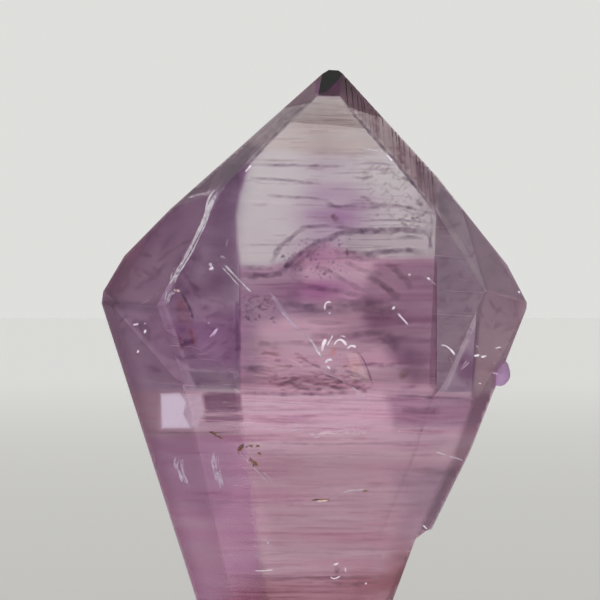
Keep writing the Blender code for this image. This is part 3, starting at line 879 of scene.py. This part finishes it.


# Healed fractures: cracks that the stone closed again, now pale films of tiny hollows, which
# also glow a little as painted light; the pale rim along the lower left edge is a painted
# reflection. Each is laid in strands on a route as seen, with its width, strands, how much of it
# is whole, and its colour where that isn't pale. Fine white lines are scattered between them.
PALE, LILAC, ROSY = (0.93, 0.90, 0.94), (0.74, 0.58, 0.78), (0.90, 0.64, 0.64)
FEATHER, HAZE, WHITISH = (0.82, 0.74, 0.86), (0.92, 0.84, 0.90), (0.88, 0.80, 0.88)
VEILS = {
    "edge": (((224, 185), (212, 199), (206, 218), (198, 235), (188, 255), (177, 272), (171, 286)), 5.0,
        6, 0.85),
    "edge_body": (((221, 188), (209, 206), (201, 228), (187, 257)), 2.6, 2, 1.0),
    "edge_fork": (((188, 256), (180, 270), (173, 281), (170, 288)), 3.4, 3, 0.7),
    "edge_foot": (((174, 291), (169, 293), (165, 304)), 4.0, 3, 0.7, (0.80, 0.72, 0.84)),
    "edge_rose": (((172, 290), (181, 291)), 2.2, 1, 0.9, ROSY),
    "edge_top": (((183, 199), (196, 195), (208, 191), (217, 187)), 4.0, 5, 0.55, (0.86, 0.76, 0.82)),
    "corner_dash": (((233, 188), (236, 180)), 2.4, 2, 0.45, (0.75, 0.62, 0.74)),
    "face_dash_1": (((189, 236), (186, 240)), 2.0, 1, 0.5, LILAC),
    "face_dash_2": (((184, 243), (181, 247)), 2.0, 1, 0.5, LILAC),
    "face_ray": (((133, 308), (150, 298), (166, 289)), 3.0, 4, 0.35, (0.72, 0.50, 0.62)),
    "face_haze": (((118, 240), (122, 262), (126, 285)), 9.0, 5, 0.28, (0.52, 0.46, 0.50)),
    "face_haze_2": (((139, 250), (143, 240), (146, 232)), 3.0, 2, 0.35, LILAC),
    "blob_stem": (((208, 261), (211, 266), (213, 272)), 3.4, 2, 0.7, (0.85, 0.78, 0.88)),
    "pale_patch": (((221, 258), (224, 257), (227, 259)), 4.6, 3, 0.55, (0.80, 0.72, 0.82)),
    "pale_line": (((226, 249), (228, 238)), 3.2, 2, 0.45, LILAC),
    "pair_left": (((224, 264), (238, 279), (252, 293)), 1.4, 1, 0.95),
    "pair_right": (((221, 266), (232, 278), (240, 287)), 1.0, 1, 0.8),
    "pair_grain": (((228, 272), (236, 282), (244, 294)), 5.0, 4, 0.35, LILAC),
    "long_film": (((205, 238), (214, 254), (224, 272), (240, 296)), 2.4, 3, 0.35, LILAC),
    "crackle_film": (((243, 300), (255, 308), (272, 318)), 12.0, 6, 0.35, (0.78, 0.66, 0.72)),
    "bright_streak": (((268, 289), (277, 302), (286, 316), (297, 328), (309, 340)), 5.0, 4, 0.62,
        (0.76, 0.60, 0.78)),
    "streak_core": (((280, 310), (290, 321), (300, 331)), 2.4, 2, 0.8, (0.86, 0.70, 0.88)),
    "thin_end": (((306, 334), (314, 345), (324, 360)), 2.2, 3, 0.8),
    "leaf_film": (((344, 374), (357, 379), (371, 385)), 2.6, 4, 0.6, (0.95, 0.74, 0.72)),
    "leaf_side": (((360, 359), (366, 369), (371, 380)), 2.4, 2, 0.4, ROSY),
    "leaf_tail": (((350, 385), (357, 391), (366, 398)), 1.6, 2, 0.7),
    "rose_film_1": (((288, 358), (296, 362), (304, 367)), 5.0, 5, 0.5, (0.95, 0.70, 0.70)),
    "rose_film_2": (((245, 374), (272, 376), (300, 372)), 2.6, 3, 0.45, ROSY),
    "rose_film_3": (((284, 380), (305, 384), (335, 389)), 1.6, 3, 0.6, (0.90, 0.72, 0.80)),
    "rose_film_4": (((322, 372), (338, 378), (350, 386)), 1.4, 2, 0.6, (0.92, 0.76, 0.82)),
    "row_film": (((300, 321), (330, 320), (362, 324)), 5.0, 3, 0.3, (0.92, 0.68, 0.78)),
    "lens": (((493, 361), (498, 367), (502, 377)), 6.0, 5, 0.5, (0.80, 0.66, 0.84)),
    "side_blob_1": (((471, 262), (476, 268)), 6.0, 3, 0.4, (0.76, 0.66, 0.74)),
    "side_blob_2": (((492, 318), (500, 330)), 12.0, 5, 0.3, (0.76, 0.66, 0.72)),
    "side_blob_3": (((484, 285), (486, 300)), 9.0, 4, 0.25, (0.70, 0.62, 0.70)),
    "side_scratch": (((424, 275), (430, 280), (438, 287)), 2.0, 3, 0.6),
    "side_scratch_2": (((424, 290), (436, 300)), 1.8, 2, 0.3, LILAC),
    "side_scratch_3": (((459, 370), (464, 367), (470, 361)), 3.0, 4, 0.7, (0.86, 0.72, 0.82)),
    "side_scratch_4": (((450, 356), (453, 364)), 3.0, 3, 0.5, (0.86, 0.66, 0.76)),
    "side_scratch_5": (((476, 344), (480, 350)), 2.6, 3, 0.6),
    # Painted reflection: a pale reddish rim along the lower left edge, not a film in the stone.
    "left_rim_reflection": (((106, 312), (113, 345), (122, 383), (130, 408)), 2.6, 2, 0.3, (0.80, 0.68, 0.74)),
    "break_rim": (((446, 503), (441, 514), (434, 525), (426, 533), (416, 539)), 1.4, 1, 0.8),
    "break_rim_low": (((413, 545), (408, 560), (404, 575), (399, 592)), 1.4, 1, 0.7),
    "feather_1": (((180, 455), (179, 468), (183, 478), (187, 487)), 9.0, 7, 0.60, FEATHER),
    "feather_2": (((215, 450), (215, 466), (219, 480), (222, 492)), 8.0, 7, 0.60, FEATHER),
    "feather_3": (((192, 455), (190, 462), (184, 470)), 6.0, 4, 0.35, FEATHER),
    "feather_4": (((158, 440), (163, 436), (166, 446)), 5.0, 4, 0.3, FEATHER),
    "body_crack": (((232, 447), (246, 460), (258, 472), (270, 486)), 3.0, 4, 0.5, (0.84, 0.76, 0.84)),
    "body_crack_side": (((240, 462), (250, 474), (264, 486)), 2.4, 3, 0.4, (0.80, 0.72, 0.82)),
    "body_crack_end": (((262, 472), (270, 478), (271, 487)), 2.0, 2, 0.5),
    "gold_tail": (((330, 499), (342, 495), (349, 491), (368, 489)), 1.4, 2, 0.8),
    "thread": (((322, 463), (340, 473), (352, 480), (362, 484)), 1.2, 2, 0.4),
    "rim_dash": (((358, 147), (371, 150), (386, 152)), 4.0, 5, 0.75),
    "rim_dash_2": (((352, 112), (344, 112), (336, 113)), 3.0, 3, 0.5),
    "rim_dash_3": (((300, 127), (312, 131), (326, 133)), 1.8, 3, 0.45),
    "pale_ray_1": (((240, 242), (262, 221), (290, 199)), 5.0, 3, 0.22, HAZE),
    "pale_ray_2": (((252, 238), (272, 217), (296, 200)), 4.0, 2, 0.18, HAZE),
    "band_top": (((241, 397), (280, 398), (330, 398), (372, 397)), 3.0, 3, 0.45, (0.92, 0.76, 0.86)),
    "band_pink": (((262, 403), (290, 404), (320, 402)), 8.0, 4, 0.3, (0.92, 0.76, 0.84)),
    "band_pink_2": (((300, 437), (330, 434), (368, 431)), 9.0, 6, 0.55, (0.96, 0.78, 0.86)),
    "band_white": (((345, 420), (362, 418), (376, 426)), 5.0, 5, 0.35),
    "body_white": (((372, 450), (392, 454), (412, 452)), 12.0, 8, 0.35, WHITISH),
    "body_white_2": (((430, 450), (452, 457), (468, 462)), 6.0, 6, 0.50, WHITISH),
    "body_white_3": (((255, 428), (290, 430), (325, 428)), 4.0, 5, 0.50, (0.90, 0.80, 0.88)),
    "body_haze": (((190, 518), (225, 520), (262, 516)), 18.0, 8, 0.22, (0.84, 0.74, 0.86)),
    "body_haze_2": (((262, 545), (300, 548), (340, 544)), 14.0, 6, 0.18, (0.86, 0.76, 0.84)),
}
VEIL_LAYER, VEIL_GAP = 0.06, 0.004
SWAY, SWAY_RATE, STRAND_WIDE = 0.5, 0.05, 1.2
WHITE_LINES = {
    "band": ((200, 392, 470, 432), 34, (20, 90), (0.6, 1.4), 0.40),
    "body": ((170, 434, 470, 560), 90, (16, 110), (0.6, 1.4), 0.34),
    "foot": ((200, 560, 396, 600), 34, (20, 120), (0.6, 1.4), 0.34),
    "window": ((244, 100, 428, 250), 26, (10, 50), (0.6, 1.4), 0.30),
    "side": ((440, 210, 512, 384), 26, (2, 8), (0.8, 2.6), 0.30),
    "left": ((186, 205, 236, 384), 20, (2, 10), (0.8, 2.2), 0.30),
}


def lay_veil(plates, seed, step, route, width, strands, whole, shade=PALE):
    """Adds a film in swaying strands side by side along a route."""
    for strand in range(strands):
        swing = (strand - (strands - 1) / 2.0) / strands * width
        shifted = []
        for px, py in route:
            drift = noise.noise((px * SWAY_RATE, py * SWAY_RATE, seed + strand * 5.0))
            sway = SWAY * width * drift * (strands > 1)
            shifted.append((px + swing + sway, py + 0.3 * swing + sway))
        lay_line(plates, shifted, VEIL_LAYER + VEIL_GAP * strand, STRAND_WIDE * width / strands ** 0.9,
                 lambda fade: (*shade, fade * whole), 1.0, seed * 2.7 + strand, step)


plates = new_plates()
for seed, veil in enumerate(VEILS.values()):
    lay_veil(plates, seed, HAIR_STEP, *veil)
for (left, top, right, bottom), count, (short, long), (thin, wide), whole in WHITE_LINES.values():
    for number in range(count):
        px = lines.uniform(left, right)
        py = lines.uniform(top, bottom)
        length = lines.uniform(short, long)
        slope = lines.gauss(0.0, 0.012) if length > 10.0 else lines.uniform(-1.0, 1.0)
        route = ((px - length / 2.0, py - length * slope), (px + length / 2.0, py + length * slope))
        if seen(*route[0], END_LAYER) and seen(*route[1], END_LAYER):
            lay_veil(plates, px, HAIR_STEP, route, lines.uniform(thin, wide), 1, whole)
veil_look, veil_surface, paint = new_look("healed_film_and_glow")
VEIL_DARK, VEIL_FLECKS = (0.55, 0.48, 0.55, 1.0), 2600.0
cover = paint.tint(3)
flecks = paint.place().grain(VEIL_FLECKS, 5.0, 0.7)
bright = flecks.step(0.25, 0.6).blend(VEIL_DARK, paint.tint(0))
bright.drive(veil_surface, "Base Color")
bright.drive(veil_surface, "Emission Color")
whole = (cover * 1.6 + flecks * 1.1 - 0.95).step(0.0, 1.0) * (cover * 1.4 + 0.1)
whole.drive(veil_surface, "Alpha")
veil_surface.inputs["Roughness"].default_value = 0.35
# Painted light: the films glow by their own emission on top of their pale colour.
veil_surface.inputs["Emission Strength"].default_value = 0.24
healed_fractures = finish_plates(plates, "healed_fractures", veil_look)


# Fracture glints: small curved chips and bubble rims that throw the light straight back, given
# like the veils, as painted highlights that glow by their own emission. Three wider films among
# them each have an outline as seen, a colour, how much of it is whole and how soft its edge is;
# they are real milky and rosy films whose brightness is the same painted glow.
GLINTS = {
    "corner_chip": (((245, 172), (248, 169), (251, 165)), 1.6, 2, 0.9),
    "rim_chip": (((387, 155), (390, 158), (392, 161)), 1.7, 2, 0.9),
    "arc_high": (((322, 352), (323, 345), (326, 339)), 2.0, 1, 1.0),
    "arc_high_thin": (((327, 346), (330, 340), (333, 335)), 0.7, 2, 0.9),
    "arc_mid": (((334, 345), (337, 341), (341, 340), (345, 343), (347, 346)), 1.4, 1, 1.0),
    "arc_mid_thin": (((336, 339), (341, 336), (346, 337)), 0.7, 1, 0.8),
    "arc_low": (((347, 349), (351, 346), (356, 347)), 1.2, 1, 1.0),
    "ball_rim": (((325, 363), (328, 360), (333, 360)), 1.4, 1, 1.0),
    "ball_side": (((320, 355), (318, 352), (316, 350)), 1.0, 1, 0.9),
    "ball_low": (((327, 366), (330, 369)), 0.9, 1, 0.8),
    "bubble_rim": (((325, 310), (325, 305), (328, 302), (332, 303)), 0.9, 1, 0.95),
    "bubble_foot": (((328, 313), (331, 313)), 0.7, 1, 0.8),
    "stick_head": (((392, 307), (395, 309)), 2.9, 1, 0.95),
    "stick": (((396, 311), (402, 318), (409, 326)), 1.5, 1, 0.8, (0.72, 0.66, 0.74)),
    "dot_1": (((408, 274), (411, 275)), 1.6, 1, 1.0),
    "dot_2": (((427, 278), (430, 279)), 1.4, 1, 0.9),
    "curved_chip": (((441, 345), (446, 346), (451, 350), (455, 355)), 1.2, 1, 1.0),
    "chip_1": (((474, 356), (480, 355)), 1.1, 1, 0.95),
    "chip_2": (((481, 357), (487, 356)), 1.4, 1, 1.0),
    "chip_3": (((495, 348), (501, 347)), 1.1, 2, 0.8),
    "chip_4": (((493, 373), (498, 374)), 1.2, 2, 0.8),
    "chip_5": (((518, 291), (520, 293)), 1.1, 1, 0.9),
    "chip_6": (((478, 383), (482, 384)), 1.0, 1, 0.7),
    "left_chip": (((133, 325), (139, 324)), 1.1, 1, 0.8, (0.9, 0.78, 0.84)),
    "left_dot_1": (((144, 331), (146, 332)), 2.0, 1, 1.0),
    "left_dot_2": (((137, 351), (139, 352)), 2.0, 1, 1.0),
    "left_dot_3": (((144, 323), (146, 324)), 1.1, 1, 0.7),
    "blob_1": (((208, 322), (210, 324)), 2.5, 1, 0.55, (0.84, 0.68, 0.88)),
    "blob_2": (((218, 327), (214, 333), (210, 338)), 2.6, 2, 0.45, (0.80, 0.62, 0.84)),
    "blob_3": (((211, 267), (212, 270)), 2.7, 1, 0.9),
    "white_dash": (((254, 571), (263, 571), (274, 570)), 1.0, 2, 0.9),
    "low_mark_1": (((333, 565), (339, 563)), 1.2, 2, 0.7),
    "low_mark_2": (((330, 577), (335, 579), (341, 576)), 1.6, 3, 0.6),
    "low_mark_3": (((345, 567), (346, 573)), 1.1, 2, 0.5),
    # Painted highlight along the gold sliver.
    "gold_gleam": (((315, 501), (322, 501), (330, 500)), 0.8, 1, 0.8, (1.0, 0.92, 0.78)),
    "body_dot_1": (((267, 542), (269, 543)), 1.2, 1, 0.8),
    "body_dot_2": (((365, 583), (367, 584)), 1.2, 1, 0.8),
    "body_dot_3": (((398, 431), (400, 432)), 1.0, 1, 0.9),
    "body_dot_4": (((423, 525), (427, 529)), 1.1, 2, 0.7),
}
FILMS = {
    "milky": (((160, 393), (180, 392), (187, 402), (184, 414), (192, 429), (161, 429)),
        (0.74, 0.69, 0.80), 0.33, 2.5),
    "milky_side": (((160, 393), (202, 393), (206, 412), (198, 429), (161, 429)), (0.66, 0.58, 0.73),
        0.27, 4.0),
    "leaf": (((346, 352), (357, 352), (372, 384), (352, 376)), (0.90, 0.66, 0.62), 0.24, 2.0),
}
FILM_GAP, FILM_STEP, FILM_RIM = 0.03, 1.0, 4.0
FIRST_GLINT = 60
plates = new_plates()
for seed, glint in enumerate(GLINTS.values(), FIRST_GLINT):
    lay_veil(plates, seed, None, *glint)
for number, (outline, shade, whole, soft) in enumerate(FILMS.values(), 1):
    lay_area(plates, box_round(outline, FILM_RIM), FILM_STEP, VEIL_LAYER + FILM_GAP * number, True,
             lambda px, py: (*shade, edge_fade(px, py, outline, soft) * whole))
glint_look, glint_surface, paint = new_look("fracture_glint")
GLINT_DARK, GLINT_FLECKS = (0.70, 0.64, 0.70, 1.0), 3000.0
bright = paint.place().grain(GLINT_FLECKS, 2.0).step(0.3, 0.55).blend(GLINT_DARK, paint.tint(0))
bright.drive(glint_surface, "Base Color")
bright.drive(glint_surface, "Emission Color")
paint.tint(3).step(0.1, 0.75).drive(glint_surface, "Alpha")
glint_surface.inputs["Roughness"].default_value = 0.25
# The glow is painted highlight, not lamp light.
glint_surface.inputs["Emission Strength"].default_value = 0.55
fracture_glints = finish_plates(plates, "fracture_glints", glint_look)


# Iron stains: grains of rusty gold ore that settled on a young face and were grown over, now
# small rough crumbs in the lower body. Each group has its two ends as seen, spread and count.
STAINS = (((211, 432), (222, 438), 1.5, 34), ((238, 452), (243, 445), 2.0, 60), ((246, 446), (260, 446),
    1.4, 16), ((250, 460), (257, 465), 2.2, 44), ((256, 450), (261, 455), 1.0, 8), ((312, 500),
    (330, 500), 0.9, 60), ((363, 491), (367, 491), 0.8, 12))
stains_mesh = bmesh.new()
for start, end, spread, count in STAINS:
    for number in range(count):
        middle = Vector(start).lerp(Vector(end), lines.random())
        middle += Vector((lines.gauss(0.0, spread * 0.5), lines.gauss(0.0, spread * 0.4)))
        point = seen(*middle, lines.uniform(0.10, 0.20))
        size = lines.uniform(0.03, 0.085)
        long, tall = size * lines.uniform(0.8, 1.8), size * lines.uniform(0.6, 1.2)
        stretch = Matrix.Diagonal((long, size, tall, 1.0))
        turn = Matrix.Rotation(lines.uniform(0.0, 3.0), 4, "Y")
        where = Matrix.Translation((point + TO_ROW) * MM)
        bmesh.ops.create_icosphere(stains_mesh, subdivisions=1, radius=MM, matrix=where @ turn @ stretch)
stain_look, stain_surface, paint = new_look("iron_stain")
BROWN, GOLD, RUST_FLECKS = (0.22, 0.08, 0.03, 1.0), (0.72, 0.42, 0.12, 1.0), 2500.0
rusty = paint.place().grain(RUST_FLECKS, 3.0).step(0.35, 0.65).blend(BROWN, GOLD)
rusty.drive(stain_surface, "Base Color")
stain_surface.inputs["Roughness"].default_value = 0.55
iron_stains = as_object(stains_mesh, "iron_stains", stain_look)
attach(iron_stains, "root")


# The stand: a pale floor whose colour is darker near the stone and pales with distance, painted
# shade that dims the lower backdrop; an even studio round it that is brighter behind the stone
# than in front, and a broad soft lamp overhead.
floor_mesh = bmesh.new()
bmesh.ops.create_grid(floor_mesh, x_segments=1, y_segments=1, size=4.0)
floor_look, floor_surface, paint = new_look("pale_floor")
SHADED_NEAR_FLOOR, FAR_FLOOR, FAR = (0.62, 0.615, 0.60, 1.0), (0.81, 0.81, 0.80, 1.0), 0.8
far = paint.node("ShaderNodeVectorMath", {"operation": "LENGTH"}, {0: paint.place()}, out=1)
# Painted shade: the floor's colour itself darkens towards the stone.
far.step(0.0, FAR).blend(SHADED_NEAR_FLOOR, FAR_FLOOR).drive(floor_surface, "Base Color")
floor_surface.inputs["Roughness"].default_value = 0.9
floor = as_object(floor_mesh, "floor", floor_look)

studio = bpy.data.worlds.new("studio")
bpy.context.scene.world = studio
studio.use_nodes = True
light = Field(studio.node_tree)
way = light.node("ShaderNodeTexCoord", out=0)
ahead = light.node("ShaderNodeSeparateXYZ", None, {0: way}, out=1)
CAMERA_SIDE, STONE_SIDE = 0.40, 0.735
strength = light.node("ShaderNodeMapRange", {"interpolation_type": "SMOOTHSTEP"},
                      {"Value": ahead, "From Min": -0.8, "From Max": 0.95,
                       "To Min": CAMERA_SIDE, "To Max": STONE_SIDE})
background = studio.node_tree.nodes["Background"]
background.inputs["Color"].default_value = (1.0, 1.0, 0.975, 1.0)
strength.drive(background, "Strength")

sun = bpy.data.lights.new("soft_lamp", "SUN")
sun.energy, sun.angle = 1.10, math.radians(70.0)
lamp = bpy.data.objects.new("soft_lamp", sun)
lamp.rotation_euler = (math.radians(-25.0), math.radians(12.0), 0.0)
lamp.visible_glossy = False
bpy.context.scene.collection.objects.link(lamp)
